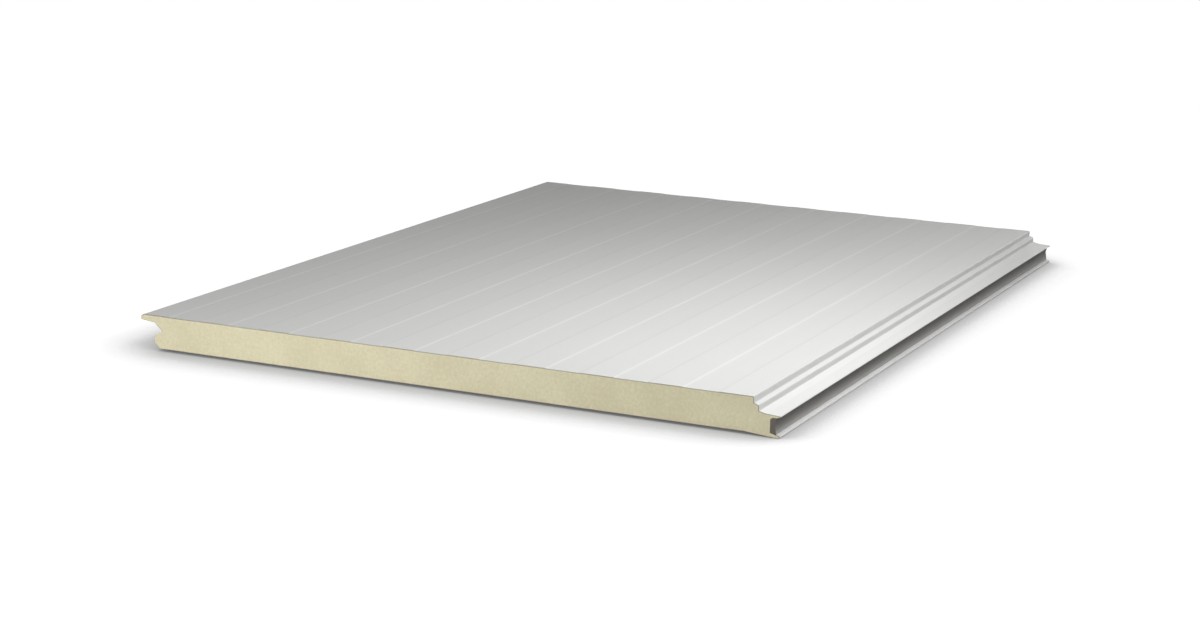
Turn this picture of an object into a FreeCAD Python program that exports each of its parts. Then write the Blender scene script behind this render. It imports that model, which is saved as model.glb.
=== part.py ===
import FreeCAD, Part
import os

import Sketcher

# Insulated sandwich panel with a hidden-fix joint: two roll-formed steel sheets on a foam core.
# The section is drawn once, across the panel, and runs unchanged along its length.
# Each sheet is one line along its outer face, thickened inwards by the gauge.
# The core fills what the sheets enclose, and its two sawn ends stay open.
#
# X runs across the panel, from the socket edge to the tongue edge. Y runs along its length.
# Z runs up to the outer face. The origin is under the middle, level with the joint lip,
# which is the lowest line of the section.

# Driving sizes in millimetres.
sizes = {
    # the panel as a whole
    "panel_length": 1400,
    "cover_width": 1000,        # from one panel to the next on the wall
    "panel_thickness": 50,      # outer face to inner face
    "outer_gauge": 0.5,
    "inner_gauge": 0.4,
    "fold_radius": 1.5,         # small bends of both sheets

    # shallow staves rolled into the outer face, as many as fit
    "stave_start": 41.75,       # from the arris to the first step down
    "stave_flat": 48,
    "stave_slope": 4.5,
    "stave_depth": 0.5,

    # socket edge: rounded nose, eave and ramp down to the root
    "nose_reach": 5.2,          # nose in front of the arris
    "nose_radius": 5.3,         # over the top of the nose
    "nose_under_radius": 2.5,
    "eave_run": 18.9,           # from the arris to the top of the ramp
    "eave_fall": 2.75,
    "eave_radius": 5,
    "root_return": 1.4,         # short upright end of the sheet at the root

    # socket edge: the bulge below the root
    "bulge_inset": 18.8,        # from the arris to the face of the bulge
    "shoulder_radius": 6,
    "bevel_run": 9.4,           # bevel from the bulge to the inner face
    "bevel_rise": 7.2,
    "bevel_radius": 2,
    "edge_upstand": 6,          # inner sheet above the bevel

    # tongue edge: two risers, a shelf between them, and the tongue
    "joint_gap": 6.8,           # open line between two panels on the wall
    "riser_one": 8.9,
    "shelf_run": 7.6,
    "shelf_fall": 2.9,
    "riser_two": 7.6,
    "apron_run": 10.5,          # steep start of the tongue's top face
    "apron_fall": 2.4,
    "apron_radius": 6,
    "tongue_lap": 27.5,         # tongue and lip past the cover width
    "tongue_fall": 1.5,
    "tongue_thickness": 2.8,
    "tip_edge": 1.4,            # upright end of the tongue
    "tip_lead": 4.5,            # underside that rises to the tip and guides it in
    "tongue_clearance": 4.8,    # tongue tip to the root of the next socket
    "seat_rise": 2.1,           # root of the socket above the tongue's underside
    "seat_fall": 3.8,           # shoulder of the bulge below the tongue's underside

    # tongue edge: the groove with its gasket, and the lip
    "groove_chamfer": 3.2,
    "gasket_depth": 9.6,
    "gasket_squeeze": 4,        # how far the next bulge presses in
    "gasket_radius": 1.5,
    "gasket_hollow": 2.4,       # dip along the middle of its face
    "hollow_drop": 9.8,         # from the tongue's underside to the bottom of the dip
    "hollow_radius": 8,
    "floor_fall": 2.8,          # groove floor under the gasket, down to the inner face
    "lip_fall": 1.6,            # from the gasket to the edge of the lip
    "lip_thickness": 2.4,
    "lip_flat": 4,              # level underside of the lip
    "lip_run": 47.5,            # width of the sloping strip behind it
}

# Lengths that follow from the driving sizes, as expressions for the sketches.
tongueDrop = ("(Sizes.riser_one + Sizes.shelf_fall + Sizes.riser_two + Sizes.apron_fall"
              " + Sizes.tongue_fall + Sizes.tongue_thickness)")
arris = "(Sizes.cover_width - Sizes.nose_reach - Sizes.joint_gap)"
tip = "(Sizes.cover_width + Sizes.tongue_lap)"
gasketFace = "(Sizes.cover_width + Sizes.bulge_inset + Sizes.gasket_squeeze)"
grooveWall = f"({gasketFace} - Sizes.gasket_depth)"
grooveWallTop = f"({tongueDrop} + Sizes.groove_chamfer)"
grooveWallFoot = "(Sizes.panel_thickness - Sizes.floor_fall)"
root = "(Sizes.tongue_lap + Sizes.tongue_clearance)"
rootDrop = f"({tongueDrop} - Sizes.seat_rise)"
lipDrop = "(Sizes.lip_fall + Sizes.lip_thickness)"
stavePitch = "(2 * (Sizes.stave_flat + Sizes.stave_slope))"
staveCount = f"floor(({arris} - 2 * Sizes.stave_start + Sizes.stave_flat) / {stavePitch})"
staveSpan = f"({staveCount} * {stavePitch} - Sizes.stave_flat)"
noseHeight = "(Sizes.nose_radius + Sizes.nose_under_radius)"
tongueFold = "0.45 * Sizes.tip_edge"
lipFold = "0.45 * Sizes.lip_thickness"

level = "0"
sharp = None
fold = "Sizes.fold_radius"


def makeSheet(doc):
    sheet = doc.addObject("Spreadsheet::Sheet", "Sizes")
    for row, (name, value) in enumerate(sizes.items(), start=1):
        sheet.set(f"A{row}", name)
        sheet.set(f"B{row}", str(value))
        sheet.setAlias(f"B{row}", name)
    doc.recompute()
    return sheet


# A line is a start point and a list of steps. Each step gives the move across, the move up
# and the bend at its end, as expressions.

def staveSteps(count):
    down = [("Sizes.stave_slope", "-Sizes.stave_depth", sharp), ("Sizes.stave_flat", level, sharp)]
    up = [("Sizes.stave_slope", "Sizes.stave_depth", sharp)]
    between = [("Sizes.stave_flat", level, sharp)]
    return (down + up + between) * (count - 1) + down + up


def outerLine(sheet):
    start = (root, f"-{rootDrop}")
    socket = [
        (level, "Sizes.root_return", fold),
        (f"Sizes.eave_run - {root}",
         f"{rootDrop} - Sizes.root_return - Sizes.eave_fall - {noseHeight}", "Sizes.eave_radius"),
        ("-Sizes.eave_run - Sizes.nose_reach", "Sizes.eave_fall", "Sizes.nose_under_radius"),
        (level, noseHeight, "Sizes.nose_radius"),
        ("Sizes.nose_reach + Sizes.stave_start", level, sharp),
    ]
    tongue = [
        (f"{arris} - Sizes.stave_start - {staveSpan}", level, fold),
        (level, "-Sizes.riser_one", fold),
        ("Sizes.shelf_run", "-Sizes.shelf_fall", fold),
        (level, "-Sizes.riser_two", fold),
        ("Sizes.apron_run", "-Sizes.apron_fall", "Sizes.apron_radius"),
        (f"{tip} - {arris} - Sizes.shelf_run - Sizes.apron_run", "-Sizes.tongue_fall", tongueFold),
        (level, "-Sizes.tip_edge", tongueFold),
        ("-Sizes.tip_lead", "Sizes.tip_edge - Sizes.tongue_thickness", fold),
        (f"{grooveWall} + Sizes.groove_chamfer + Sizes.tip_lead - {tip}", level, fold),
        ("-Sizes.groove_chamfer", "-Sizes.groove_chamfer", sharp),
    ]
    return start, socket + staveSteps(int(evaluate(sheet, staveCount))) + tongue


def innerLine():
    start = (grooveWall, f"-{grooveWallFoot}")
    steps = [
        ("Sizes.gasket_depth", "-Sizes.floor_fall", sharp),
        (f"{tip} - {gasketFace}", "-Sizes.lip_fall", lipFold),
        (level, "-Sizes.lip_thickness", lipFold),
        ("-Sizes.lip_flat", level, fold),
        ("-Sizes.lip_run", lipDrop, "Sizes.bevel_radius"),
        (f"Sizes.bulge_inset + Sizes.bevel_run + Sizes.lip_flat + Sizes.lip_run - {tip}", level,
         "Sizes.bevel_radius"),
        ("-Sizes.bevel_run", "Sizes.bevel_rise", "Sizes.bevel_radius"),
        (level, "Sizes.edge_upstand", sharp),
    ]
    return start, steps


def wholeLine(sheet):
    start, outerSteps = outerLine(sheet)
    _, innerSteps = innerLine()
    wall = [(level, f"{grooveWallTop} - {grooveWallFoot}", sharp)]
    upstandTop = "(Sizes.panel_thickness - Sizes.bevel_rise - Sizes.edge_upstand)"
    bulge = [
        (level, f"{upstandTop} - {tongueDrop} - Sizes.seat_fall", "Sizes.shoulder_radius"),
        (f"{root} - Sizes.bulge_inset", "Sizes.seat_fall + Sizes.seat_rise", sharp),
    ]
    return start, outerSteps + wall + innerSteps + bulge


def gasketLine():
    start = (grooveWall, f"-{grooveWallFoot}")
    gasketTop = f"(Sizes.panel_thickness - {tongueDrop})"
    steps = [
        (level, f"{grooveWallFoot} - {grooveWallTop}", sharp),
        ("Sizes.groove_chamfer", "Sizes.groove_chamfer", fold),
        ("Sizes.gasket_depth - Sizes.groove_chamfer", level, "Sizes.gasket_radius"),
        ("-Sizes.gasket_hollow", "-Sizes.hollow_drop", "Sizes.hollow_radius"),
        ("Sizes.gasket_hollow", f"Sizes.hollow_drop - {gasketTop}", "Sizes.gasket_radius"),
        ("-Sizes.gasket_depth", "Sizes.floor_fall", sharp),
    ]
    return start, steps


def drawLine(sketch, line):
    (startX, startZ), steps = line
    points = [FreeCAD.Vector(evaluate(sketch, startX), evaluate(sketch, startZ), 0)]
    for across, up, _ in steps:
        points.append(points[-1] + FreeCAD.Vector(evaluate(sketch, across), evaluate(sketch, up), 0))
    sketch.addGeometry([Part.LineSegment(a, b) for a, b in zip(points, points[1:])])

    last = len(steps) - 1
    closed = points[-1].isEqual(points[0], 1e-6)
    joins = [Sketcher.Constraint("Coincident", index, 2, index + 1, 1) for index in range(last)]
    if closed:
        joins.append(Sketcher.Constraint("Coincident", last, 2, 0, 1))
    sketch.addConstraint(joins)

    moves = [("DistanceX", (-1, 1, 0, 1), startX), ("DistanceY", (-1, 1, 0, 1), startZ)]
    for index, (across, up, _) in enumerate(steps[:last] if closed else steps):
        moves.append(("DistanceX", (index, 1, index, 2), across))
        moves.append(("DistanceY", (index, 1, index, 2), up))
    straight = [("Vertical" if kind == "DistanceX" else "Horizontal", places[0])
                for kind, places, text in moves if text == level]
    sketch.addConstraint([Sketcher.Constraint(kind, index) for kind, index in straight])
    measure(sketch, [move for move in moves if move[2] != level])
    for index, (_, _, bend) in enumerate(steps):
        if bend is not sharp:
            roundCorner(sketch, index, bend)


def evaluate(item, text):
    return float(item.evalExpression(text))


# Adds dimensions to a sketch, each a kind, the places it measures and its expression.
def measure(sketch, dimensions):
    rules = [Sketcher.Constraint(kind, *places, evaluate(sketch, text))
             for kind, places, text in dimensions]
    first = sketch.ConstraintCount
    sketch.addConstraint(rules)
    for number, (_, _, text) in enumerate(dimensions, start=first):
        sketch.setExpression(f"Constraints[{number}]", text)


# Rounds the corner at a line's end, its point 2. The corner stays as a point for the dimensions.
def roundCorner(sketch, index, radius):
    arc = sketch.GeometryCount
    sketch.fillet(index, 2, evaluate(sketch, radius), True, True)
    measure(sketch, [("Radius", (arc,), radius)])


def makeSketch(doc, name, line):
    sketch = doc.addObject("Sketcher::SketchObject", name)
    upright = FreeCAD.Rotation(FreeCAD.Vector(1, 0, 0), 90)
    sketch.Placement = FreeCAD.Placement(FreeCAD.Vector(0, 0, 0), upright)
    drawLine(sketch, line)
    return sketch


# The section is drawn from the arris and the outer face. What is made from it is placed so that
# the origin comes under the middle of the panel, at the height of the lip.
def place(piece):
    piece.setExpression("Placement.Base.x", f"-({tip} - Sizes.nose_reach) / 2")
    piece.setExpression("Placement.Base.z", f"Sizes.panel_thickness + {lipDrop}")


def extrude(doc, name, base):
    piece = doc.addObject("Part::Extrusion", name)
    piece.Base = base
    piece.DirMode = "Custom"
    piece.Dir = FreeCAD.Vector(0, 1, 0)
    piece.Solid = True
    piece.Symmetric = True
    piece.setExpression("LengthFwd", "Sizes.panel_length")
    place(piece)
    return piece


def makeSkin(doc, name, line, gauge):
    sketch = makeSketch(doc, name + "_line", line)
    section = doc.addObject("Part::Offset2D", name + "_section")
    section.Source = sketch
    section.Mode = "Skin"
    section.Join = "Intersection"
    section.Fill = True
    section.setExpression("Value", f"-Sizes.{gauge}")
    return extrude(doc, name, section)


def makeCore(doc, line, outerSkin, innerSkin):
    whole = extrude(doc, "panel_outline", makeSketch(doc, "panel_outline_line", line))
    skins = doc.addObject("Part::MultiFuse", "both_skins")
    skins.Shapes = [outerSkin, innerSkin]
    core = doc.addObject("Part::Cut", "foam_core")
    core.Base = whole
    core.Tool = skins
    return core


def makeGasket(doc):
    body = doc.addObject("PartDesign::Body", "joint_gasket")
    sketch = body.newObject("Sketcher::SketchObject", "gasket_line")
    planes = {plane.Role: plane for plane in body.Origin.OriginFeatures}
    sketch.AttachmentSupport = [(planes["XZ_Plane"], "")]
    sketch.MapMode = "FlatFace"
    doc.recompute()
    drawLine(sketch, gasketLine())
    pad = body.newObject("PartDesign::Pad", "gasket_pad")
    pad.Profile = sketch
    pad.Midplane = True
    pad.setExpression("Length", "Sizes.panel_length")
    place(body)
    return body


def checkAndExport(doc, pieces):
    for item in doc.Objects:
        if "Invalid" in item.State or "Error" in item.State:
            raise RuntimeError(f"{item.Name} did not compute: {item.State}")
    os.makedirs("parts", exist_ok=True)
    for piece in pieces:
        shape = piece.Shape
        if shape.isNull() or not shape.isValid() or len(shape.Solids) != 1:
            raise RuntimeError(f"{piece.Label} is not one valid solid")
    for piece in pieces:
        piece.Shape.exportStep(f"parts/{piece.Label}.step")
        box = piece.Shape.BoundBox
        print(f"{piece.Label}: {piece.Shape.Volume / 1000:.1f} cm3, "
              f"X {box.XMin:.2f} to {box.XMax:.2f}, Z {box.ZMin:.2f} to {box.ZMax:.2f}")


def main():
    doc = FreeCAD.newDocument("SandwichPanel")
    sheet = makeSheet(doc)
    outerSkin = makeSkin(doc, "outer_skin", outerLine(sheet), "outer_gauge")
    innerSkin = makeSkin(doc, "inner_skin", innerLine(), "inner_gauge")
    core = makeCore(doc, wholeLine(sheet), outerSkin, innerSkin)
    gasket = makeGasket(doc)
    doc.recompute()
    checkAndExport(doc, [outerSkin, innerSkin, core, gasket])


main()
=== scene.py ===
import math

import bpy
from mathutils import Matrix, Vector


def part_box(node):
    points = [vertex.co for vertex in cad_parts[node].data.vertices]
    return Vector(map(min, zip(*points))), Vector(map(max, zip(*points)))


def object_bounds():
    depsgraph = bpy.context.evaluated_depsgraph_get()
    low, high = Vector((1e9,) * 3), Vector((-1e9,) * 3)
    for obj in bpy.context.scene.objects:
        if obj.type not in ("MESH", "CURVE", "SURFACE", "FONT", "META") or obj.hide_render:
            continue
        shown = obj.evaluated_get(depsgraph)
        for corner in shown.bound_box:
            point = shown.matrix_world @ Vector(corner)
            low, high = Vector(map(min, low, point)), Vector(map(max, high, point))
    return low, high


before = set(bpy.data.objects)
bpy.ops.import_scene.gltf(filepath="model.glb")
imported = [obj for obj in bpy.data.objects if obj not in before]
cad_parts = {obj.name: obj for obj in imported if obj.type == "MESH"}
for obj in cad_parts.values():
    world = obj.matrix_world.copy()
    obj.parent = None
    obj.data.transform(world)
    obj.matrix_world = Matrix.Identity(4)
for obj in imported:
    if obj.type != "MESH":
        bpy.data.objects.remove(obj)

# Looks for a steel-faced foam panel: coil paint, sawn foam, a soft gasket strip, and its studio.
# The panel's solids are shown as they are, so everything here is finish. Metres throughout.


def corners(box):
    return [[float(c) for c in point] for point in box]


solidBox = corners(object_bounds())
coreBox = corners(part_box("foam_core"))
gasketBox = corners(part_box("joint_gasket"))
panelEnd = solidBox[1][1]        # both sawn ends lie this far from the middle


# A socket that takes part in sums: wire * 2, 1 - wire, abs(wire).
class Wire:
    def __init__(self, graph, socket):
        self.graph = graph
        self.socket = socket

    def sum(self, operation, *terms):
        return self.graph.add("ShaderNodeMath", {"operation": operation}, dict(enumerate(terms)))

    def __add__(self, other):
        return self.sum("ADD", self, other)

    def __sub__(self, other):
        return self.sum("SUBTRACT", self, other)

    def __rsub__(self, other):
        return self.sum("SUBTRACT", other, self)

    def __mul__(self, other):
        return self.sum("MULTIPLY", self, other)

    def __gt__(self, other):
        return self.sum("GREATER_THAN", self, other)

    def __abs__(self):
        return self.sum("ABSOLUTE", self)

    __radd__ = __add__
    __rmul__ = __mul__


# The nodes of one material or world. add() makes any node: its settings first, then its sockets.
class Graph:
    def __init__(self, owner):
        owner.use_nodes = True
        self.owner = owner
        self.tree = owner.node_tree
        self.tree.nodes.clear()

    def add(self, kind, settings=None, sockets=None, take=0):
        node = self.tree.nodes.new(kind)
        for key, value in (settings or {}).items():
            if key == "stops":
                self.fillRamp(node.color_ramp, value)
            else:
                setattr(node, key, value)
        for key, value in (sockets or {}).items():
            if isinstance(value, Wire):
                self.tree.links.new(value.socket, node.inputs[key])
            else:
                node.inputs[key].default_value = value
        return Wire(self, node.outputs[take] if node.outputs else None)

    def fillRamp(self, ramp, stops):
        while len(ramp.elements) < len(stops):
            ramp.elements.new(0.5)
        for element, (place, shade) in zip(ramp.elements, stops):
            element.position = place
            element.color = shade

    def mix(self, factor, first, second):
        sockets = {0: factor, 6: solid(first), 7: solid(second)}
        return self.add("ShaderNodeMix", {"data_type": "RGBA"}, sockets, 2)

    def tint(self, shade, amount):
        return self.add("ShaderNodeVectorMath", {"operation": "SCALE"}, {0: shade, 3: amount})

    def band(self, value, low, high):
        sockets = {"Value": value, "From Min": low, "From Max": high}
        return self.add("ShaderNodeMapRange", {"interpolation_type": "SMOOTHSTEP"}, sockets)

    def noise(self, place, scale, detail=2.0, roughness=0.5):
        sockets = {"Vector": place, "Scale": scale, "Detail": detail, "Roughness": roughness}
        return self.add("ShaderNodeTexNoise", {}, sockets)

    def stretch(self, place, scale):
        return self.add("ShaderNodeVectorMath", {"operation": "MULTIPLY"}, {0: place, 1: scale})

    def place(self, kind="Object"):
        return self.add("ShaderNodeTexCoord", {}, {}, kind)

    def part(self, vector, axis):
        return self.add("ShaderNodeSeparateXYZ", {}, {0: vector}, axis)

    def sawnEnd(self):       # 1 on the faces across the panel's two ends, 0 elsewhere
        return abs(self.part(self.place("Normal"), 1)) > 0.8

    def bump(self, height, distance, under=None):
        sockets = {"Height": height, "Distance": distance}
        if under is not None:
            sockets["Normal"] = under
        return self.add("ShaderNodeBump", {}, sockets)

    def finish(self, shader, kind="ShaderNodeOutputMaterial"):
        self.add(kind, {}, {"Surface": shader})
        return self.owner


def solid(shade):
    return shade if isinstance(shade, Wire) else (*shade, 1)


# Coil paint on rolled steel. Its streaks run along the panel, as the strip left the rollers.
# Where the saw cut the sheet, the bare steel shows, with a thin scorched edge on the paint.
# Soft light shows the shallow bends only faintly, so painted highlight and painted shade on their
# flanks carry them.
paint = {
    "outer": (0.80, 0.80, 0.785),
    "inner": (0.86, 0.86, 0.85),
    "streaks": (60, 1.2, 60),
    "streakTint": 0.018,
    "clouds": 5,
    "cloudTint": 0.03,
    "roughness": 0.5,
    "roughnessSpread": 0.03,
    "gloss": 0.3,
    "peelScale": 900,
    "peelDepth": 0.00002,
    "bendLean": (0.04, 0.1),     # sideways lean of the normal on a shallow bend
    # painted highlight on right-leaning shallow bends, painted shade on every left-leaning face
    "bendPaintedHighlight": 0.1,
    "leftLeanPaintedShade": 0.07,
    "shallowEnds": (0.14, 0.3),  # leans past which a bend no longer counts as shallow
    "flankLean": (0.3, 0.6),     # lean on the steep flanks of the joint edge
    # painted shade on the steep right-facing flanks of the joint edge
    "flankPaintedShade": 0.14,
    "scorchScale": 450,
    "scorchAmount": 0.8,
    "scorchWidth": 0.003,
    "scorchRagged": 0.0016,
    "scorch": (0.22, 0.20, 0.16),
    "cutSteel": (0.20, 0.18, 0.15),
    "cutBright": (0.36, 0.33, 0.28),
    "cutMetal": 0.6,
    "cutRoughness": 0.55,
    "sawLines": (30, 30, 2500),
}


def paintMaterial(name, shade):
    graph = Graph(bpy.data.materials.new(name))
    place = graph.place()
    streaks = graph.noise(graph.stretch(place, paint["streaks"]), 1, 3, 0.6)
    clouds = graph.noise(place, paint["clouds"], 2)
    amount = 1 + (streaks - 0.5) * paint["streakTint"] + (clouds - 0.5) * paint["cloudTint"]
    lean = graph.part(graph.place("Normal"), 0)
    shallow = 1 - graph.band(lean, *paint["shallowEnds"])
    # painted highlight: right-leaning shallow bend flanks are lightened as if lit from the right
    amount = amount + graph.band(lean, *paint["bendLean"]) * shallow * paint["bendPaintedHighlight"]
    # painted shade: every left-leaning face is darkened
    amount = amount - graph.band(lean * -1, *paint["bendLean"]) * paint["leftLeanPaintedShade"]
    # painted shade: the steep right-facing flanks are darkened
    amount = amount - graph.band(lean, *paint["flankLean"]) * paint["flankPaintedShade"]
    ragged = graph.noise(place, paint["scorchScale"], 3) * paint["scorchRagged"]
    edge = panelEnd - abs(graph.part(place, 1)) + ragged
    scorched = 1 - graph.band(edge, paint["scorchWidth"] * 0.5, paint["scorchWidth"] * 1.5)
    coat = graph.mix(scorched * paint["scorchAmount"], graph.tint(shade, amount), paint["scorch"])
    cut = graph.sawnEnd()
    sawLines = graph.noise(graph.stretch(place, paint["sawLines"]), 1, 2)
    steel = graph.mix(sawLines, paint["cutSteel"], paint["cutBright"])
    roughness = paint["roughness"] + (streaks - 0.5) * paint["roughnessSpread"]
    shader = graph.add("ShaderNodeBsdfPrincipled", {}, {
        "Base Color": graph.mix(cut, coat, steel),
        "Metallic": cut * paint["cutMetal"],
        "Roughness": roughness * (1 - cut) + cut * paint["cutRoughness"],
        "Specular IOR Level": paint["gloss"],
        "Normal": graph.bump(graph.noise(place, paint["peelScale"], 2), paint["peelDepth"]),
    })
    return graph.finish(shader)


# Rigid foam, sawn across at both ends: fine cells, soft mottling, faint lines left by the saw.
# A brown line shows where it bonds to the outer sheet.
foam = {
    "pale": (0.78, 0.732, 0.52),
    "deep": (0.67, 0.62, 0.425),
    "glue": (0.42, 0.36, 0.24),
    "glueWidth": 0.0012,
    "glueAmount": 0.8,
    "mottle": 210,
    "mottleShare": 0.6,      # the rest is cloud
    "cloud": 14,
    "mottleBand": (0.35, 0.65),
    "cells": 1100,
    "cellBand": (0.15, 0.75),
    "cellTint": 0.2,
    "cellDepth": 0.00025,
    "sawLines": (14, 1, 420),
    "sawDepth": 0.0001,
    "roughness": 0.92,
}


def foamMaterial():
    graph = Graph(bpy.data.materials.new("sawnFoam"))
    place = graph.place()
    mottle = graph.noise(place, foam["mottle"], 4, 0.6) * foam["mottleShare"]
    cloud = graph.noise(place, foam["cloud"], 2) * (1 - foam["mottleShare"])
    patches = graph.band(mottle + cloud, *foam["mottleBand"])
    shade = graph.mix(patches, foam["deep"], foam["pale"])
    cells = graph.add("ShaderNodeTexVoronoi", {}, {"Vector": place, "Scale": foam["cells"]})
    walls = graph.band(cells, *foam["cellBand"]) * foam["cellTint"]
    shade = graph.mix(walls, shade, foam["deep"])
    glued = 1 - graph.band(coreBox[1][2] - graph.part(place, 2), 0, foam["glueWidth"])
    shade = graph.mix(glued * foam["glueAmount"], shade, foam["glue"])
    saw = graph.noise(graph.stretch(place, foam["sawLines"]), 1, 3)
    relief = graph.bump(cells, foam["cellDepth"], graph.bump(saw, foam["sawDepth"]))
    shader = graph.add("ShaderNodeBsdfPrincipled", {}, {
        "Base Color": shade, "Roughness": foam["roughness"], "Normal": relief})
    return graph.finish(shader)


# Soft sponge strip: a grey skin on its face, darkened upward by painted shade under the tongue,
# and dark open sponge where it is cut.
gasket = {
    "skin": [        # from foot to top: the skin's grey, then painted shade under the tongue
        (0, (0.46, 0.455, 0.44, 1)),
        (0.12, (0.36, 0.355, 0.34, 1)),
        (0.34, (0.2, 0.195, 0.185, 1)),
        (0.6, (0.1, 0.097, 0.09, 1)),
        (0.86, (0.055, 0.052, 0.046, 1)),
        (1, (0.03, 0.028, 0.024, 1)),
    ],
    "worn": 0.35,
    "wornGloss": 0.1,
    "cut": (0.125, 0.11, 0.09),
    "wear": (120, 20, 120),
    "pores": 1400,
    "poreDepth": 0.0002,
    "roughness": 0.85,
}


def gasketMaterial():
    graph = Graph(bpy.data.materials.new("softGasket"))
    place = graph.place()
    foot, top = (corner[2] for corner in gasketBox)
    height = graph.add("ShaderNodeMapRange", {}, {
        "Value": graph.part(place, 2), "From Min": foot, "From Max": top})
    # painted shade: the ramp darkens the skin towards the top, under the tongue
    skin = graph.add("ShaderNodeValToRGB", {"stops": gasket["skin"]}, {"Fac": height})
    wear = graph.noise(graph.stretch(place, gasket["wear"]), 1, 4, 0.6)
    skin = graph.tint(skin, 1 + (wear - 0.5) * gasket["worn"])
    cut = graph.sawnEnd()
    pores = graph.noise(place, gasket["pores"], 2)
    shader = graph.add("ShaderNodeBsdfPrincipled", {}, {
        "Base Color": graph.mix(cut, skin, gasket["cut"]),
        "Roughness": gasket["roughness"] - wear * gasket["wornGloss"],
        "Normal": graph.bump(pores, gasket["poreDepth"])})
    return graph.finish(shader)


def dress(node, material):
    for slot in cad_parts[node].material_slots:
        slot.material = material


print("finishes: paint, foam, gasket")
dress("outer_skin", paintMaterial("outerPaint", paint["outer"]))
dress("inner_skin", paintMaterial("innerPaint", paint["inner"]))
dress("foam_core", foamMaterial())
dress("joint_gasket", gasketMaterial())


# Plain white floor. Lamps light it as paper for the panel's sake. Seen directly it is mostly a
# white glow, darkened by how much of its surroundings the panel hides from each spot.
floor = {
    "size": 40,
    "shade": (0.8, 0.8, 0.8),
    "drop": 0.0002,
    "lift": 0.85,            # share of glow seen directly; the rest is lamplight
    "glow": 1.18,            # times the lift, this comes to 1
    "reach": 0.13,
    "contactReach": 0.009,
    "contact": 0.6,
    "contactBand": (0.5, 0.85),
    "shadow": [              # openness of the spot, brightness of the glow
        (0.05, 0.15), (0.3, 0.34), (0.66, 0.48), (0.77, 0.54),
        (0.86, 0.64), (0.91, 0.77), (0.95, 0.94), (0.98, 1),
    ],
}


def seenDirectly(graph):
    direct = graph.add("ShaderNodeLightPath", {}, {}, "Is Camera Ray")
    mirrored = graph.add("ShaderNodeLightPath", {}, {}, "Is Glossy Ray")
    through = graph.add("ShaderNodeLightPath", {}, {}, "Is Transmission Ray")
    return direct + mirrored + through


def openness(graph, reach):
    return graph.add("ShaderNodeAmbientOcclusion", {"samples": 4}, {"Distance": reach}, "AO")


def makeFloor():
    ground = (0, 0, solidBox[0][2] - floor["drop"])
    bpy.ops.mesh.primitive_plane_add(size=floor["size"], location=ground)
    plane = bpy.context.object
    plane.name = "floor"
    graph = Graph(bpy.data.materials.new("floorPaper"))
    paper = graph.add("ShaderNodeBsdfDiffuse", {}, {"Color": solid(floor["shade"])})
    stops = [(place, (level, level, level, 1)) for place, level in floor["shadow"]]
    around = openness(graph, floor["reach"])
    glow = graph.add("ShaderNodeValToRGB", {"stops": stops}, {"Fac": around})
    contact = graph.band(openness(graph, floor["contactReach"]), *floor["contactBand"])
    glow = graph.tint(glow, floor["contact"] + contact * (1 - floor["contact"]))
    white = graph.add("ShaderNodeEmission", {}, {"Color": glow, "Strength": floor["glow"]})
    lift = seenDirectly(graph) * floor["lift"]
    plane.data.materials.append(graph.finish(
        graph.add("ShaderNodeMixShader", {}, {0: lift, 1: paper, 2: white})))


# The world is white where it is seen or mirrored. Diffuse light comes only from the soft boxes.
world = {"shade": (1, 1, 1)}


def makeWorld():
    studio = bpy.data.worlds.new("studio")
    bpy.context.scene.world = studio
    graph = Graph(studio)
    sky = {"Color": solid(world["shade"]), "Strength": seenDirectly(graph)}
    graph.finish(graph.add("ShaderNodeBackground", {}, sky), "ShaderNodeOutputWorld")


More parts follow.
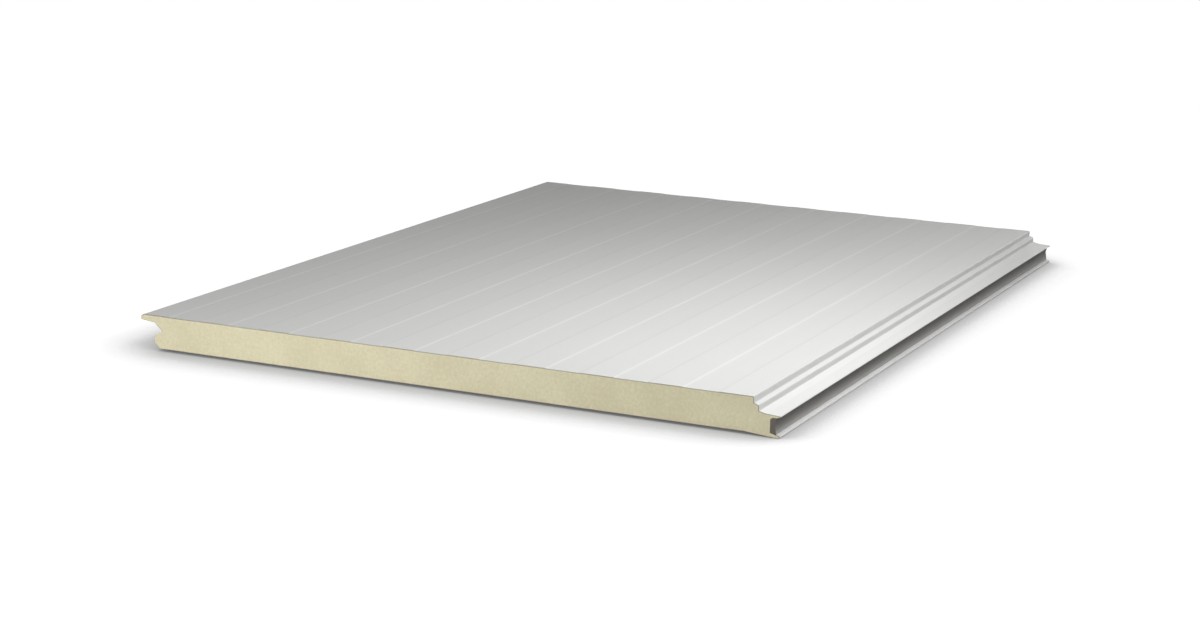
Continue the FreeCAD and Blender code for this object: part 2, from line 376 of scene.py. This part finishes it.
# Soft boxes: where each stands, what it faces, its size and power.
softBoxes = {
    "sideRight": {
        "place": (1.6, -0.6, 1.2),
        "aim": (0.2, -0.2, 0), "size": (0.9, 0.9), "power": 11.2,
    },
    "overRight": {
        "place": (0.5, -0.5, 1.1),
        "aim": (0.5, -0.5, 0), "size": (0.9, 0.9), "power": 8.7,
    },
    "overFar": {
        "place": (0.7, 0.8, 1.0),
        "aim": (0.6, 0.6, 0), "size": (0.7, 0.7), "power": 1.3,
    },
    "lowFront": {
        "place": (0.72, -3.2, 0.2),
        "aim": (0.1, -0.3, 0), "size": (0.8, 0.3), "power": 14.8,
    },
    "lowLeft": {
        "place": (-0.51, -1.5, 0.25),
        "aim": (0.1, -0.3, 0), "size": (0.5, 0.3), "power": 4.3,
    },
    "farEnd": {
        "place": (0.5, 2.6, 0.13),
        "aim": (0, 0.5, 0.03), "size": (0.9, 0.16), "power": 18,
    },
    "noseSide": {
        "place": (-2.4, 0.4, 0.13),
        "aim": (-0.5, 0, 0.03), "size": (0.9, 0.16), "power": 16,
    },
}


def makeSoftBox(name, box):
    lamp = bpy.data.lights.new(name, "AREA")
    lamp.shape = "RECTANGLE"
    lamp.size, lamp.size_y = box["size"]
    lamp.energy = box["power"]
    holder = bpy.data.objects.new(name, lamp)
    bpy.context.collection.objects.link(holder)
    holder.visible_camera = False
    holder.location = box["place"]
    aim = Vector(box["aim"]) - Vector(box["place"])
    holder.rotation_euler = aim.to_track_quat("-Z", "Y").to_euler()


print("stage: floor, world, soft boxes")
makeFloor()
makeWorld()
for name, box in softBoxes.items():
    makeSoftBox(name, box)


# Angles in degrees: turn about the upright, dip below level, roll about the line of sight.
camera = {
    "place": (1.65864, -3.81776, 0.91038),
    "turn": 24.384,
    "dip": 12.653,
    "roll": 1.423,
    "lens": 76.07,
    "sensor": 36,
}


def makeCamera():
    data = bpy.data.cameras.new("camera")
    data.lens = camera["lens"]
    data.sensor_width = camera["sensor"]
    holder = bpy.data.objects.new("camera", data)
    bpy.context.collection.objects.link(holder)
    turn = Matrix.Rotation(math.radians(camera["turn"]), 4, "Z")
    dip = Matrix.Rotation(math.radians(90 - camera["dip"]), 4, "X")
    roll = Matrix.Rotation(math.radians(camera["roll"]), 4, "Z")
    holder.matrix_world = Matrix.Translation(camera["place"]) @ turn @ dip @ roll
    bpy.context.scene.camera = holder


print("camera")
makeCamera()
bpy.context.scene.view_settings.view_transform = "Standard"
